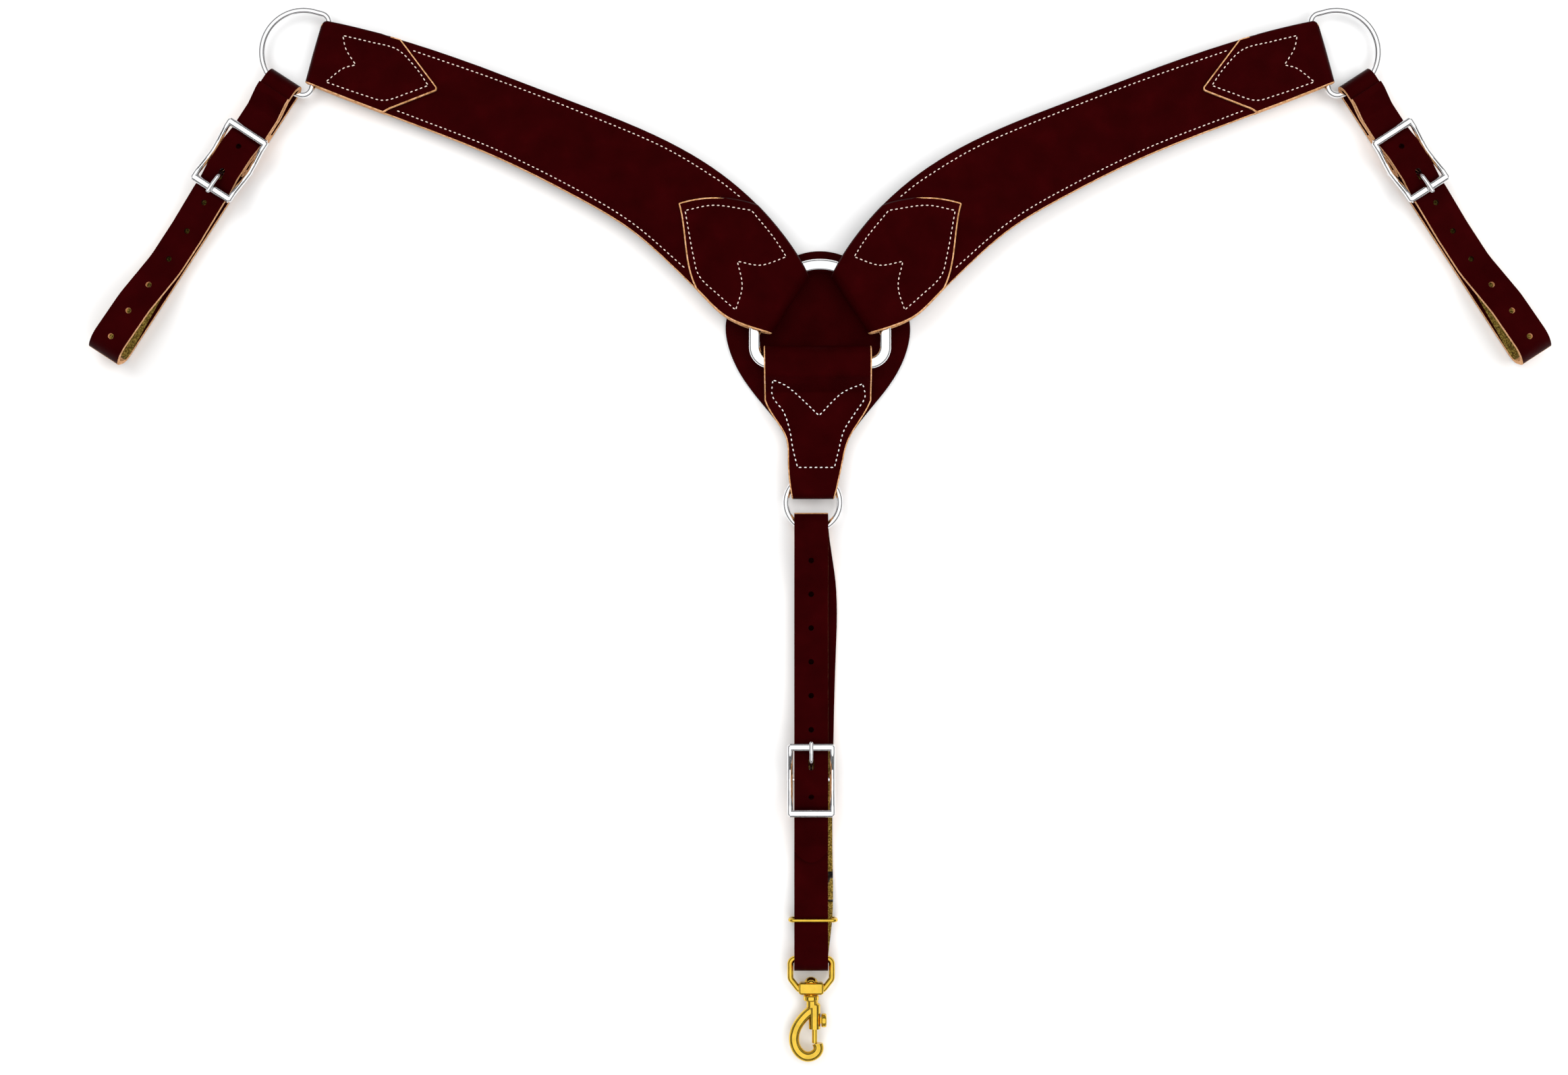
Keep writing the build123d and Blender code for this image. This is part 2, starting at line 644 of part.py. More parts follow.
def snap_thumb_knob():
    knob = Pos(BARREL_X + 7.0, -364.1, EYE_Z) * (Rot(0, 90, 0) * Cylinder(5.2, 4.0))
    return fillet(knob.edges(), 1.2) - snap_plunger()


def snap_spring():
    """Closed compression spring behind the plunger."""
    length = SNAP_Y - 12.6 + 361.0
    helix = Helix(pitch=2.1, height=length - 0.7, radius=1.45)
    section = Plane(origin=helix.position_at(0), z_dir=helix.tangent_at(0)) * Circle(0.3)
    coil = sweep(section, path=helix)
    return Pos(BARREL_X, -360.85, EYE_Z) * (Rot(-90, 0, 0) * coil)


def main():
    nodes = {}
    # Left half first, then its mirror image
    front = arm_slab(RING_Z, RING_Z + PLY)
    lining = arm_slab(RING_Z - PLY, RING_Z)
    inner = inner_chape() & arm_prism() & inner_leaf()
    outer = outer_chape() & arm_prism() & outer_leaf()
    left = {
        "body_front_ply": front, "body_lining": lining, "inner_chape": inner,
        "outer_chape": outer, "body_stitching": body_stitching(), "dee": dee(), "tug_strap": tug_strap()}
    v = levels(TUG_Z)
    bx, by = tug_bar()
    place = buckle_place(bx, by, *tug_dir()).location
    left["tug_buckle_frame"] = place * buckle_frame(v)
    left["tug_buckle_bar"] = place * buckle_bar(v)
    left["tug_buckle_tongue"] = place * buckle_tongue(v)
    for name, shape in left.items():
        low = lowered(shape)
        nodes["left_" + name] = low
        nodes["right_" + name] = mirrored(low)
    nodes["back_shield"] = shield()
    nodes["connector"] = connector_band() & connector_prism()
    nodes["connector_stitching"] = connector_stitching()
    nodes["center_ring"] = center_ring()
    nodes["small_ring"] = small_ring()
    nodes["center_strap"] = center_strap()
    c = levels(STRAP_Z)
    cplace = buckle_place(STRAP_X, CB_Y, 0, 1).location
    nodes["center_buckle_frame"] = cplace * buckle_frame(c)
    nodes["center_buckle_bar"] = cplace * buckle_bar(c)
    nodes["center_buckle_tongue"] = cplace * buckle_tongue(c)
    nodes["strap_keeper"] = strap_keeper()
    nodes["snap_eye"] = snap_eye()
    nodes["snap_hook_body"] = snap_hook_body()
    nodes["snap_plunger"] = snap_plunger()
    nodes["snap_thumb_knob"] = snap_thumb_knob()
    nodes["snap_spring"] = snap_spring()
    for name, shape in nodes.items():
        save(shape, name)


main()
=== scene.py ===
import json
import math
import random

import bmesh
import bpy
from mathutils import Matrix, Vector
from mathutils.bvhtree import BVHTree


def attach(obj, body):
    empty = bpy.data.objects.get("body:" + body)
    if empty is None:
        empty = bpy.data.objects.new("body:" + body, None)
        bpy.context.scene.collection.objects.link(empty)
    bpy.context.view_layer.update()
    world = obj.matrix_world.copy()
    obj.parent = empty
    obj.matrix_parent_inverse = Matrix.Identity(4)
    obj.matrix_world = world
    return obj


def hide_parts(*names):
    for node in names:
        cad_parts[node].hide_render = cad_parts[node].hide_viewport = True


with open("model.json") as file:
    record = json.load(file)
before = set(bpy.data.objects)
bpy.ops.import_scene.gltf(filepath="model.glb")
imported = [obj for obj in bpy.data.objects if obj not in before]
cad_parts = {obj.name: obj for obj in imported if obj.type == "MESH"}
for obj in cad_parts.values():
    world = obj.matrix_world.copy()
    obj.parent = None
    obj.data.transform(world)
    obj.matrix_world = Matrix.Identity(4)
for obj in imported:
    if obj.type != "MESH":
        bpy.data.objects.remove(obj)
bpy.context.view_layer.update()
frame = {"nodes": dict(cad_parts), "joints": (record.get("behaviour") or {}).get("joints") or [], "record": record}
MM = 0.001
nodes = frame["nodes"]
bodies = frame["record"]["behaviour"]["bodies"]
body_of = {node: body for body, members in bodies.items() for node in members}

# Material slots of every hide piece
GRAIN_AND_SHADE_SIDE, CUT_EDGE, FLESH_SIDE, DYE_AND_SHADE_EDGE = range(4)

# Where the leather changes its look, in millimetres
BACK_RUN_SHADE_END = -160.0     # below this the back run of the centre strap shows its flesh side; above it the same flesh side gets the dark grain colour as painted shade
OLIVE_TOP = 7.0         # between the top of its back run, 6.8, and of its front run, 7.2
BILLET_END = -40.0      # along a buckled strap from its centre bar: the billet's end starts here
BILLET_SHADOW_REACH = 11.5     # across it: the end's dark edge, a painted shadow line, stays inside this
HOLE_ZONE = 4.0         # across it: walls inside this are a hole's
TUG_HOLE_SHADE_END = 100     # along a tug: hole walls are tan from here on; nearer the buckle they are painted dark as shade
CENTRE_HOLE_SHADE_END = 400      # further than the centre strap reaches, so all its hole walls are painted dark as shade
TUG_LOOP_FROM = 40      # along a tug: its loop shows the flesh side from here on
TUG_LOOP_FLOOR = 7.0    # upward faces below this are the inside of the loop
TUG_LOOP_ROOF = 6.5     # and so are downward faces above this
RING_FOLD_AT = -127     # inward along the body strap: the inner chape's fold starts here
RING_TOP_REACH = 74     # from the middle: the inner chape's top edge is dyed inside this
DEE_FOLD_AT = 372       # from the middle: the outer chape's fold starts here
DEE_TOP_FROM = 318      # from the middle: the outer chape's top edge is dyed outside this

# Directions
FOLD = (0.836, -0.549)  # from the left body strap in towards the centre ring
WALL_RISE = 0.35        # a face whose normal leans up or down less than this is a wall

# Mesh work on the leather, in metres and degrees
WELD = 0.00001          # corners closer than this are one corner
SLIVER = 0.000002       # edges shorter than this are removed after rounding
FLAT_ANGLE = 0.6        # faces that meet more gently than this become one face
RIM_ANGLE = 50          # edges sharper than this are rounded
ROUNDING_STEPS = 3
DYED_ROUNDING = 0.8     # dyed edges, and edges painted dark as shade, are rounded this much of the cut edges' width

# Thread: the pitch is in millimetres, like the seams below, and the rest in metres
STITCH_PITCH = 3.8
STITCH_LENGTH = 0.0024
STITCH_RINGS = 7
STITCH_SIDES = 8
BODY_THREAD = 0.00042
CONNECTOR_THREAD = 0.00046
# the awl holes are painted shade: flat dark discs this size
HOLE_SIDES = 10
HOLE_LENGTH, HOLE_WIDTH = 0.00034, 0.00026
HOLE_LIFT = 0.00004     # the awl hole's painted shade, a dark disc, lies this far above the leather
CURVE_STEPS = 40        # samples between two points of a seam

# Seams of the left half and of the connector, as plan points in millimetres
TOP_SEAM = [(-306, 364.4), (-242.3, 342.0), (-181.1, 318.4), (-119.9, 292.6), (-79.1, 268.5), (-59.5, 253.6)]
LOW_SEAM = [(-101, 200.5), (-140.3, 234.2), (-181.1, 259.0), (-242.3, 289.5), (-303.5, 313.8), (-318, 319.3)]
OUTER_SEAM = [
    [(-357.5, 375.0), (-337.7, 370.3), (-317, 364.6), (-303, 351), (-293.4, 337.4)],
    [(-293.4, 337.4), (-308, 332), (-326, 326.4), (-342, 330.3), (-370.3, 340.2)],
    [(-370.3, 340.2), (-358, 349.9), (-347.9, 353.0)],
    [(-347.9, 353.0), (-355.0, 364.5), (-357.5, 375.0)]]
INNER_SEAM = [
    [(-101, 243.5), (-79.1, 247.3), (-51.3, 243.5)],
    [(-51.3, 243.5), (-35.3, 223.9), (-25.3, 208.4)],
    [(-25.3, 208.4), (-43.9, 202.5), (-61.8, 205.3)],
    [(-61.8, 205.3), (-58.3, 186.6), (-63.1, 168.9)],
    [(-63.1, 168.9), (-75.5, 179.8), (-90, 193.9), (-94.9, 210), (-101, 243.5)]]
CONNECTOR_SEAM = [
    [(-35.4, 117.0), (-22, 110.3), (-0.7, 90.5)],
    [(-0.7, 90.5), (16, 107), (32, 114.2)],
    [(32, 114.2), (33.6, 104), (26, 92.0), (17.9, 79.0), (13.8, 63.5), (10.8, 51.5)],
    [(10.8, 51.5), (-16.9, 51.5)],
    [(-16.9, 51.5), (-20.4, 66), (-22.6, 79.0), (-27.2, 93.0), (-35.6, 105), (-35.4, 117.0)]]


# ---------------------------------------------------------------- materials

def new_material(name, color, roughness, metallic=0.0, specular=0.5):
    """A plain surface, with its node tree and shader for more to be joined on."""
    mat = bpy.data.materials.new(name)
    mat.use_nodes = True
    shader = mat.node_tree.nodes["Principled BSDF"]
    shader.inputs["Base Color"].default_value = (*color, 1)
    shader.inputs["Roughness"].default_value = roughness
    shader.inputs["Metallic"].default_value = metallic
    shader.inputs["Specular IOR Level"].default_value = specular
    return mat, mat.node_tree, shader


def noise(tree, scale, detail=4.0, stretch=(1, 1, 1)):
    """Soft random pattern fixed to the object."""
    place = tree.nodes.new("ShaderNodeTexCoord")
    mapping = tree.nodes.new("ShaderNodeMapping")
    mapping.inputs["Scale"].default_value = stretch
    texture = tree.nodes.new("ShaderNodeTexNoise")
    texture.inputs["Scale"].default_value = scale
    texture.inputs["Detail"].default_value = detail
    tree.links.new(place.outputs["Object"], mapping.inputs["Vector"])
    tree.links.new(mapping.outputs["Vector"], texture.inputs["Vector"])
    return texture.outputs["Fac"]


def ramp(tree, value, stops):
    """Colours picked by a value, between stops given as position and colour."""
    node = tree.nodes.new("ShaderNodeValToRGB")
    node.color_ramp.elements[0].position = stops[0][0]
    node.color_ramp.elements[0].color = (*stops[0][1], 1)
    node.color_ramp.elements[1].position = stops[-1][0]
    node.color_ramp.elements[1].color = (*stops[-1][1], 1)
    for position, color in stops[1:-1]:
        node.color_ramp.elements.new(position).color = (*color, 1)
    tree.links.new(value, node.inputs["Fac"])
    return node.outputs["Color"]


def varied_roughness(tree, shader, value, low, high):
    """Roughness between low and high, following a pattern."""
    spread = tree.nodes.new("ShaderNodeMapRange")
    spread.inputs["To Min"].default_value = low
    spread.inputs["To Max"].default_value = high
    tree.links.new(value, spread.inputs["Value"])
    tree.links.new(spread.outputs["Result"], shader.inputs["Roughness"])


def bump(tree, shader, height, distance, strength=0.6, under=None):
    """Fine relief from a pattern, over an earlier relief if one is given."""
    node = tree.nodes.new("ShaderNodeBump")
    node.inputs["Strength"].default_value = strength
    node.inputs["Distance"].default_value = distance
    tree.links.new(height, node.inputs["Height"])
    if under:
        tree.links.new(under, node.inputs["Normal"])
    tree.links.new(node.outputs["Normal"], shader.inputs["Normal"])
    return node.outputs["Normal"]


def grain_and_shade_leather():
    """Dyed burgundy grain side: pebbled, mottled and lightly waxed. Also painted shade on the flesh side of the
    centre strap's back run near the buckle.
    """
    mat, tree, shader = new_material("burgundy_grain_and_shade", (0.021, 0.0004, 0.001), 0.4, specular=0.05)
    shader.inputs["Specular Tint"].default_value = (1.0, 0.12, 0.1, 1)
    tone = ramp(tree, noise(tree, 55, 6), [
        (0.3, (0.016, 0.0002, 0.0005)), (0.55, (0.021, 0.0003, 0.0007)), (0.8, (0.028, 0.0005, 0.001))])
    tree.links.new(tone, shader.inputs["Base Color"])
    varied_roughness(tree, shader, noise(tree, 140), 0.32, 0.52)
    pebble = tree.nodes.new("ShaderNodeTexVoronoi")
    pebble.inputs["Scale"].default_value = 1150
    place = tree.nodes.new("ShaderNodeTexCoord")
    tree.links.new(place.outputs["Object"], pebble.inputs["Vector"])
    fine = bump(tree, shader, pebble.outputs["Distance"], 0.00012, 0.5)
    bump(tree, shader, noise(tree, 90, 5), 0.0005, 0.45, fine)
    return mat


def raw_edge():
    """Cut edge of undyed leather, fibrous, with some dye and burnish."""
    mat, tree, shader = new_material("raw_tan_edge", (0.58, 0.3, 0.1), 0.7, specular=0.25)
    tone = ramp(tree, noise(tree, 420, 6, (1, 1, 2.5)), [
        (0.3, (0.34, 0.14, 0.05)), (0.5, (0.66, 0.34, 0.14)), (0.72, (0.9, 0.52, 0.33))])
    tree.links.new(tone, shader.inputs["Base Color"])
    bump(tree, shader, noise(tree, 1400, 5, (1, 1, 3)), 0.0002)
    return mat


def dye_and_shade_edge():
    """Edge coated with dye: nearly as dark as the grain, a little worn. Also painted shade on strap hole walls and
    a painted shadow line along the billet's end.
    """
    mat, tree, shader = new_material("dye_and_shade_edge", (0.05, 0.006, 0.004), 0.5, specular=0.25)
    tone = ramp(tree, noise(tree, 240, 6), [
        (0.35, (0.014, 0.0006, 0.001)), (0.7, (0.026, 0.002, 0.0016)), (0.9, (0.14, 0.05, 0.02))])
    tree.links.new(tone, shader.inputs["Base Color"])
    bump(tree, shader, noise(tree, 1200, 5), 0.00015)
    return mat


def flesh_side():
    """Undyed suede-like inside face, olive brown and speckled."""
    mat, tree, shader = new_material("flesh_side", (0.24, 0.16, 0.02), 0.95, specular=0.1)
    shader.inputs["Sheen Weight"].default_value = 0.25
    tone = ramp(tree, noise(tree, 900, 7), [
        (0.36, (0.06, 0.034, 0.004)), (0.5, (0.17, 0.11, 0.014)), (0.66, (0.4, 0.28, 0.06))])
    tree.links.new(tone, shader.inputs["Base Color"])
    bump(tree, shader, noise(tree, 2200, 6), 0.0003)
    return mat


def thread(name, color):
    """Waxed twisted thread."""
    mat, tree, shader = new_material(name, color, 0.62, specular=0.3)
    low = tuple(c * 0.8 for c in color)
    tone = ramp(tree, noise(tree, 1500, 3), [(0.3, low), (0.6, color)])
    tree.links.new(tone, shader.inputs["Base Color"])
    wave = tree.nodes.new("ShaderNodeTexWave")
    wave.inputs["Scale"].default_value = 900
    place = tree.nodes.new("ShaderNodeTexCoord")
    tree.links.new(place.outputs["Object"], wave.inputs["Vector"])
    bump(tree, shader, wave.outputs["Fac"], 0.0001)
    return mat


def metal(name, color, low, high, patina):
    """Polished metal with faint handling marks and thin tarnish."""
    mat, tree, shader = new_material(name, color, low, metallic=1.0)
    dull = tuple(c * patina for c in color)
    tone = ramp(tree, noise(tree, 130, 5), [(0.3, dull), (0.6, color)])
    tree.links.new(tone, shader.inputs["Base Color"])
    varied_roughness(tree, shader, noise(tree, 260, 6), low, high)
    bump(tree, shader, noise(tree, 260, 2), 0.00004, 0.15)
    return mat


GRAIN_AND_SHADE = grain_and_shade_leather()
EDGE = raw_edge()
DYE_AND_SHADE = dye_and_shade_edge()
FLESH = flesh_side()
CREAM = thread("cream_thread", (1.0, 0.82, 0.72))
WHITE = thread("white_thread", (1.0, 0.96, 0.92))
CHROME = metal("chrome", (0.93, 0.93, 0.94), 0.03, 0.1, 0.96)
BRASS = metal("brass", (0.86, 0.56, 0.07), 0.06, 0.15, 0.84)
STEEL = metal("spring_wire", (0.6, 0.6, 0.62), 0.2, 0.35, 0.9)
# painted shade of the awl holes, for flat dark discs
AWL_SHADE = new_material("awl_painted_shade", (0.006, 0.001, 0.001), 0.9, specular=0.05)[0]


# ---------------------------------------------------------------- leather

def leather_piece(name, edge_at, flesh_at, width):
    """The sewn leather: its cut edges rounded, each face given its own side of the hide."""
    data = nodes[name].data.copy()
    data.materials.clear()
    for mat in (GRAIN_AND_SHADE, EDGE, FLESH, DYE_AND_SHADE):
        data.materials.append(mat)
    mesh = bmesh.new()
    mesh.from_mesh(data)
    bmesh.ops.remove_doubles(mesh, verts=mesh.verts, dist=WELD)
    if name == "center_strap":    # so that the painted shade on its flesh side ends on a clean line
        bmesh.ops.bisect_plane(mesh, geom=mesh.verts[:] + mesh.edges[:] + mesh.faces[:],
                               plane_co=(0, BACK_RUN_SHADE_END * MM, 0), plane_no=(0, 1, 0))
    for face in mesh.faces:
        face.smooth = True
        where = face.calc_center_median() / MM
        normal = face.normal
        if abs(normal.z) < WALL_RISE:
            face.material_index = edge_at(where, normal)
        elif flesh_at(where, normal):
            face.material_index = FLESH_SIDE
        else:
            face.material_index = GRAIN_AND_SHADE_SIDE
    bmesh.ops.dissolve_limit(mesh, verts=mesh.verts, edges=mesh.edges,
                             angle_limit=math.radians(FLAT_ANGLE), delimit={"MATERIAL"})
    thin = name.endswith("strap")    # a wide bevel would overshoot on the straps' small curved faces
    for wall, offset in ((CUT_EDGE, width), (DYE_AND_SHADE_EDGE, width * DYED_ROUNDING)):
        rims = [e for e in mesh.edges if len(e.link_faces) == 2
                and e.calc_face_angle(0) > math.radians(RIM_ANGLE)
                and wall in [f.material_index for f in e.link_faces]]
        bmesh.ops.bevel(mesh, geom=rims, offset=offset, segments=ROUNDING_STEPS, profile=0.5,
                        affect="EDGES", material=wall, clamp_overlap=thin)
    if not thin:
        bmesh.ops.dissolve_degenerate(mesh, edges=mesh.edges, dist=SLIVER)
    mesh.to_mesh(data)
    mesh.free()
    piece = bpy.data.objects.new("hide_" + name, data)
    bpy.context.scene.collection.objects.link(piece)
    weigh = piece.modifiers.new("flat_faces", "WEIGHTED_NORMAL")
    weigh.keep_sharp = True
    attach(piece, body_of[name])
    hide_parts(name)
    return piece


def soften(piece, width, segments):
    """Rounds hard edges and keeps flat faces flat."""
    edge = piece.modifiers.new("softened_edges", "BEVEL")
    edge.width = width
    edge.segments = segments
    edge.limit_method = "ANGLE"
    edge.angle_limit = math.radians(40)
    edge.harden_normals = True


def side_of(name):
    """-1 on the left, where x is negative, and 1 on the right."""
    return -1 if name.startswith("left") else 1


def inward(direction, left):
    """How far a direction points in along the body strap, whichever side it is on."""
    across = direction.x if left else -direction.x
    return across * FOLD[0] + direction.y * FOLD[1]


def ply_edge(where, normal):
    """Body straps: raw on the lower edge, dyed on the upper one."""
    return CUT_EDGE if normal.y < -0.2 else DYE_AND_SHADE_EDGE


def inner_chape_edge(where, normal):
    """The fold round the centre ring is grain, the edge along the strap's top is dyed, the rest is raw."""
    left = where.x < 0
    if inward(where, left) > RING_FOLD_AT and inward(normal, left) > 0.9:
        return GRAIN_AND_SHADE_SIDE
    return DYE_AND_SHADE_EDGE if abs(where.x) < RING_TOP_REACH and normal.y > 0.35 else CUT_EDGE


def outer_chape_edge(where, normal):
    """The fold round the dee is grain, the top edge by it is dyed, the rest is raw."""
    if abs(where.x) > DEE_FOLD_AT and abs(normal.x) > 0.9:
        return GRAIN_AND_SHADE_SIDE
    return DYE_AND_SHADE_EDGE if normal.y > 0.8 and abs(where.x) > DEE_TOP_FROM else CUT_EDGE


def connector_edge(where, normal):
    """Grain on the walls that face up or down the strap, raw on the others."""
    return GRAIN_AND_SHADE_SIDE if abs(normal.y) > 0.93 else CUT_EDGE


def shield_edge(where, normal):
    """Dyed all round."""
    return DYE_AND_SHADE_EDGE


def never(where, normal):
    """For a piece that shows no flesh side."""
    return False


def underside(where, normal):
    """For a piece whose flesh side faces down."""
    return normal.z < 0


def in_strap(buckle, where):
    """Along a buckled strap from its centre bar, and across it, in millimetres."""
    joint = next(j for j in frame["joints"] if j["name"] == buckle)
    away = where - Vector(joint["pos_m"]) / MM
    side = Vector(joint["axis"]).normalized()
    run = Vector((0, 0, 1)).cross(side)
    if run.y > 0:
        run = -run
    return away.dot(run), away.dot(side)


def strap_edge(buckle, holes_shaded_until, sense):
    """Raw cut edges; the billet end's edge is painted dark as a shadow line, and hole walls are painted dark as
    shade, so they are tan only far from the buckle.
    """
    def pick(where, normal):
        along, across = in_strap(buckle, where)
        along *= sense
        if along < BILLET_END:
            # the billet end's edge gets the dark edge colour as a painted shadow line
            return DYE_AND_SHADE_EDGE if abs(across) < BILLET_SHADOW_REACH else CUT_EDGE
        # near the buckle the hole walls get the dark edge colour as painted shade
        if abs(across) < HOLE_ZONE and along <= holes_shaded_until:
            return DYE_AND_SHADE_EDGE
        return CUT_EDGE
    return pick


def tug_flesh(buckle):
    """The inside of the tug's loop."""
    def pick(where, normal):
        along, _ = in_strap(buckle, where)
        if along <= TUG_LOOP_FROM:
            return False
        return where.z < TUG_LOOP_FLOOR if normal.z > 0 else where.z > TUG_LOOP_ROOF
    return pick


def center_flesh_past_shade(where, normal):
    """The top of the centre strap's back run, below the buckle, where its flesh side shows; nearer the buckle that
    flesh side gets the dark grain colour as painted shade.
    """
    return normal.z > WALL_RISE and where.z < OLIVE_TOP and where.y < BACK_RUN_SHADE_END


# What each piece's edges are, where it shows its flesh side, and its rounding's width in metres
hides = {}
for side in ("left", "right"):
    hides[side + "_body_front_ply"] = (ply_edge, never, 0.0006)
    hides[side + "_body_lining"] = (ply_edge, never, 0.0006)
    hides[side + "_inner_chape"] = (inner_chape_edge, never, 0.0011)
    hides[side + "_outer_chape"] = (outer_chape_edge, never, 0.0009)
    tug = side + "_tug_buckle_tilt"
    hides[side + "_tug_strap"] = (strap_edge(tug, TUG_HOLE_SHADE_END, 1), tug_flesh(tug), 0.0009)
hides["center_strap"] = (strap_edge("center_buckle_tilt", CENTRE_HOLE_SHADE_END, -1), center_flesh_past_shade, 0.0008)
hides["connector"] = (connector_edge, never, 0.0009)
hides["back_shield"] = (shield_edge, underside, 0.0005)
pieces = {name: leather_piece(name, *how) for name, how in hides.items()}


# ---------------------------------------------------------------- stitching

def curve_through(points):
    """Smooth line through plan points, sampled finely."""
    ends = [2 * Vector(points[0]) - Vector(points[1])] + [Vector(p) for p in points]
    ends.append(2 * Vector(points[-1]) - Vector(points[-2]))
    line = []
    for a, b, c, d in zip(ends, ends[1:], ends[2:], ends[3:]):
        for step in range(CURVE_STEPS):
            t = step / CURVE_STEPS
            line.append(0.5 * (2 * b + (c - a) * t + (2 * a - 5 * b + 4 * c - d) * t * t
                               + (3 * b - a - 3 * c + d) * t ** 3))
    line.append(ends[-2])
    return line


def spaced(line, pitch):
    """Points and directions at an even pitch along a line."""
    lengths = [0.0]
    for a, b in zip(line, line[1:]):
        lengths.append(lengths[-1] + (b - a).length)
    count = max(2, round(lengths[-1] / pitch))
    found = []
    at = 0
    for i in range(count):
        want = (i + 0.5) * lengths[-1] / count
        while lengths[at + 1] < want:
            at += 1
        step = line[at + 1] - line[at]
        t = (want - lengths[at]) / max(step.length, 1e-6)
        found.append((line[at] + step * t, step.normalized()))
    return found


def surface_of(names):
    """Search trees of the named solids."""
    trees = []
    for name in names:
        data = nodes[name].data
        corners = [v.co for v in data.vertices]
        trees.append(BVHTree.FromPolygons(corners, [p.vertices for p in data.polygons]))
    return trees


def height_at(trees, x, y):
    """The highest surface at a plan point, and which way it faces."""
    hits = [t.ray_cast(Vector((x * MM, y * MM, 0.1)), Vector((0, 0, -1)), 0.2)[:2] for t in trees]
    hits = [(place, normal) for place, normal in hits if place]
    return max(hits, key=lambda hit: hit[0].z) if hits else (None, None)


def add_stitch(mesh, centre, along, up, length, thick):
    """One stitch: a little arched spindle whose ends dive into the leather."""
    across = up.cross(along).normalized()
    rings = []
    for i in range(STITCH_RINGS):
        t = i / (STITCH_RINGS - 1) * 2 - 1
        radius = thick * (1 - 0.72 * abs(t) ** 3)
        middle = centre + along * (t * length / 2) + up * (thick * (0.35 - 1.1 * t * t))
        ring = []
        for k in range(STITCH_SIDES):
            turn = k * math.tau / STITCH_SIDES
            out = across * (radius * math.cos(turn))
            ring.append(mesh.verts.new(middle + out + up * (radius * math.sin(turn))))
        rings.append(ring)
    for a, b in zip(rings, rings[1:]):
        for k in range(STITCH_SIDES):
            after = (k + 1) % STITCH_SIDES
            mesh.faces.new((a[k], a[after], b[after], b[k])).smooth = True
    mesh.faces.new(list(reversed(rings[0])))
    mesh.faces.new(rings[-1])


def add_awl_shade(mesh, centre, along, up):
    """One awl hole's painted shade: a flat dark disc just above the leather."""
    across = up.cross(along).normalized()
    ring = []
    for k in range(HOLE_SIDES):
        turn = k * math.tau / HOLE_SIDES
        out = along * (HOLE_LENGTH * math.cos(turn))
        ring.append(mesh.verts.new(centre + up * HOLE_LIFT + out + across * (HOLE_WIDTH * math.sin(turn))))
    mesh.faces.new(ring)


def sew(name, seams, flip, on, mat, thick, replaced):
    """Rows of saddle stitches with awl holes between, painted as dark discs of shade, on the solids named in on.

    flip is -1 to mirror the seams to the right half.
    """
    rng = random.Random(name)
    trees = surface_of(on)
    stitches = bmesh.new()
    holes = bmesh.new()
    for seam in seams:
        for point, step in spaced(curve_through([(flip * x, y) for x, y in seam]), STITCH_PITCH):
            place, up = height_at(trees, point.x, point.y)
            if place is None:
                continue
            along = Vector((step.x, step.y, 0))
            along = (along - up * along.dot(up)).normalized()
            slant = rng.uniform(0.02, 0.09)
            along = (along + up.cross(along) * slant).normalized()
            add_stitch(stitches, place, along, up, STITCH_LENGTH * rng.uniform(0.92, 1.06), thick)
            add_awl_shade(holes, place + along * (STITCH_PITCH * MM / 2), along, up)
    for kind, mesh, look in (("", stitches, mat), ("_awl_painted_shades", holes, AWL_SHADE)):
        data = bpy.data.meshes.new(name + kind)
        mesh.normal_update()
        mesh.to_mesh(data)
        mesh.free()
        data.materials.append(look)
        piece = bpy.data.objects.new(name + kind, data)
        bpy.context.scene.collection.objects.link(piece)
        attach(piece, body_of[replaced])
        if kind:
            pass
        else:
            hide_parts(replaced)


for side in ("left", "right"):
    layers = [side + "_" + n for n in ("body_front_ply", "inner_chape", "outer_chape")]
    sew(side + "_body_seams", [TOP_SEAM, LOW_SEAM] + INNER_SEAM + OUTER_SEAM, -side_of(side), layers,
        CREAM, BODY_THREAD, side + "_body_stitching")
sew("connector_seams", CONNECTOR_SEAM, 1, ["connector"], WHITE, CONNECTOR_THREAD, "connector_stitching")


# ---------------------------------------------------------------- hardware

def finish_metal(name, mat):
    """Keeps the metal part's own shape, with soft edges and a finish."""
    item = nodes[name]
    item.data.materials.clear()
    item.data.materials.append(mat)
    for face in item.data.polygons:
        face.use_smooth = True
    soften(item, 0.0003, 2)


hard = {"snap_spring": STEEL}
for name in nodes:
    if name in pieces or "stitching" in name or name in hard:
        continue
    hard[name] = BRASS if "snap" in name or "keeper" in name else CHROME
for name, mat in hard.items():
    finish_metal(name, mat)


# ---------------------------------------------------------------- stage

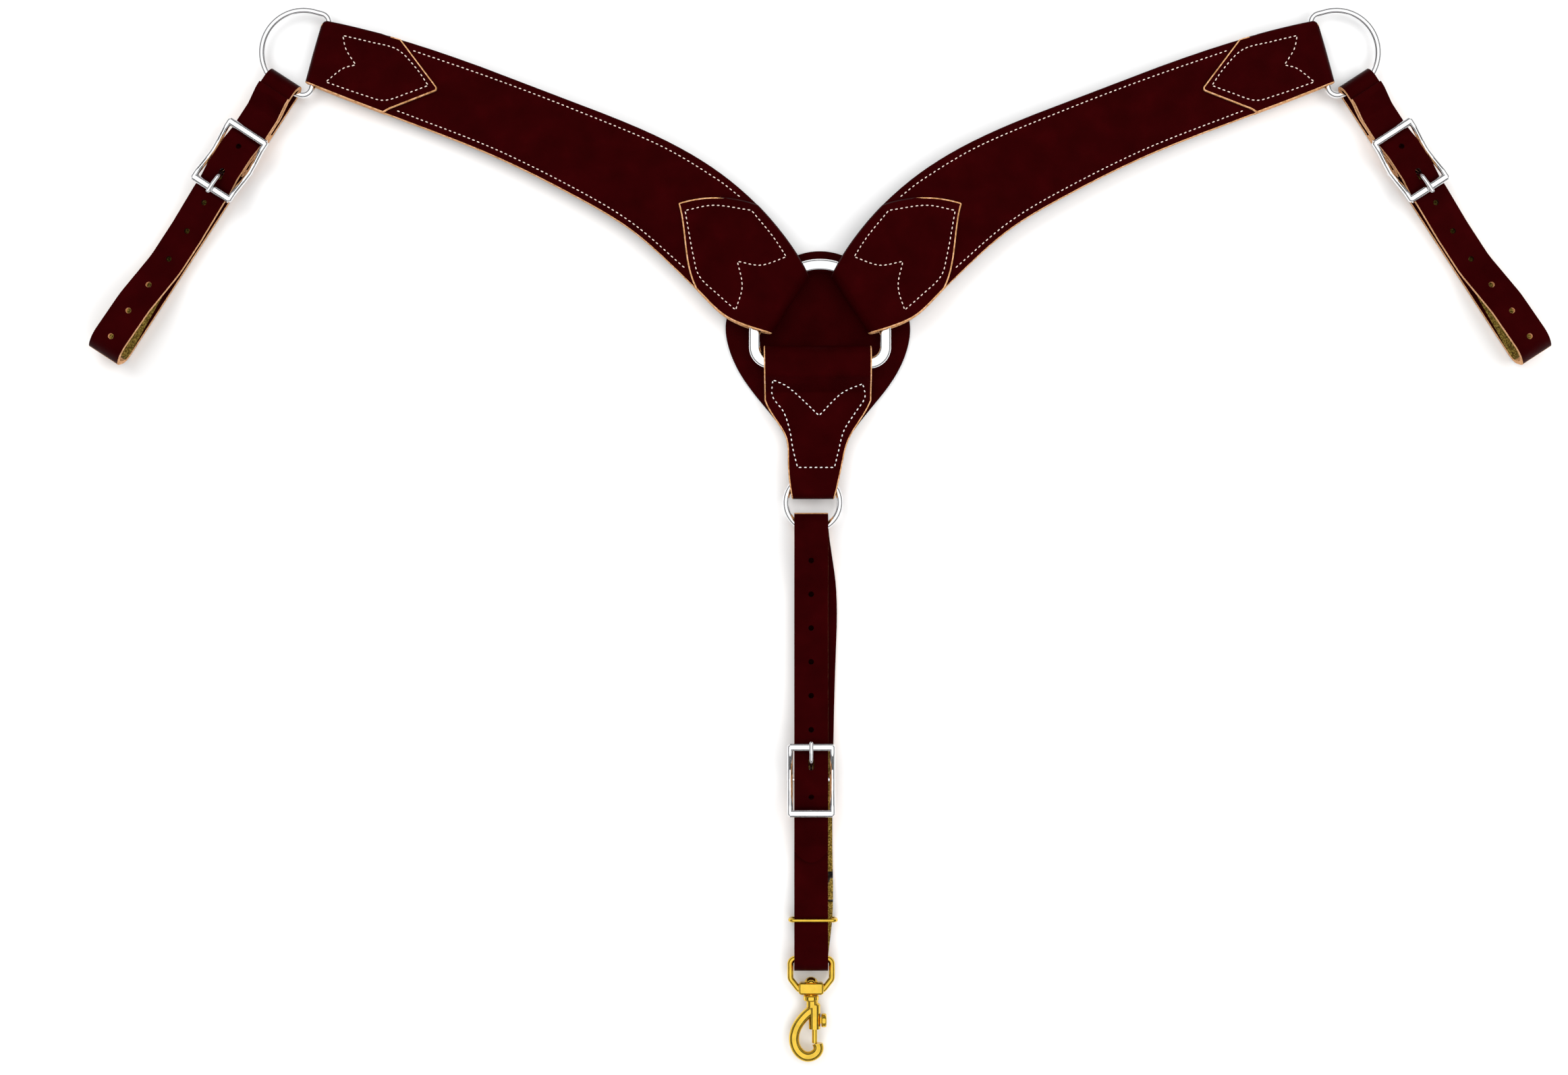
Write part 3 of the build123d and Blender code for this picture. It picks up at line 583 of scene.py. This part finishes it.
def panel(name, place, aim, size, power):
    """A large lamp that lights the leather and isn't seen in the metal."""
    data = bpy.data.lights.new(name, "AREA")
    data.shape = "RECTANGLE"
    data.size, data.size_y = size
    data.energy = power
    lamp = bpy.data.objects.new(name, data)
    lamp.location = place
    lamp.visible_glossy = False
    lamp.rotation_euler = (Vector(aim) - Vector(place)).to_track_quat("-Z", "Y").to_euler()
    bpy.context.scene.collection.objects.link(lamp)


def studio():
    """Bright overhead sky with a dark band near the horizon, for crisp lines in the metal."""
    world = bpy.data.worlds.new("studio")
    bpy.context.scene.world = world
    world.use_nodes = True
    tree = world.node_tree
    place = tree.nodes.new("ShaderNodeTexCoord")
    split = tree.nodes.new("ShaderNodeSeparateXYZ")
    tree.links.new(place.outputs["Generated"], split.inputs["Vector"])
    dark = (0.006, 0.006, 0.007)
    white = (1.0, 1.0, 1.0)
    sky = ramp(tree, split.outputs["Z"], [
        (0.0, dark), (0.28, dark), (0.31, white), (0.40, white), (0.43, dark), (0.70, dark), (0.73, white),
        (1.0, white)])
    tree.links.new(sky, tree.nodes["Background"].inputs["Color"])
    tree.nodes["Background"].inputs["Strength"].default_value = 1.15


FLOOR_SIZE = 60
FLOOR_GAP = 0.0003      # the floor lies this far below the object


def floor():
    """Wide enough to fill the picture from a low view."""
    bpy.ops.mesh.primitive_plane_add(size=FLOOR_SIZE, location=(0, 0, -FLOOR_GAP))
    ground = bpy.context.object
    ground.name = "floor"
    ground.data.materials.append(new_material("pale_floor", (0.93, 0.93, 0.93), 0.9, specular=0.1)[0])


CAMERA_LENS = 54.7
CAMERA_PLACE = (-0.027, -0.001, 1.8)


def camera():
    """Straight down, with the picture's up along +Y."""
    data = bpy.data.cameras.new("camera")
    data.lens = CAMERA_LENS
    data.sensor_width = 36
    eye = bpy.data.objects.new("camera", data)
    eye.location = CAMERA_PLACE
    bpy.context.scene.collection.objects.link(eye)
    bpy.context.scene.camera = eye


bpy.context.scene.view_settings.view_transform = "Standard"
studio()
floor()
panel("key", (-1.2, 1.4, 1.6), (0, 0, 0), (1.8, 1.8), 26)
panel("low", (0.2, -1.7, 1.5), (0, -0.1, 0), (1.8, 1.2), 14)
panel("fill", (1.5, 0.4, 1.5), (0, 0, 0), (1.8, 1.8), 19)
camera()
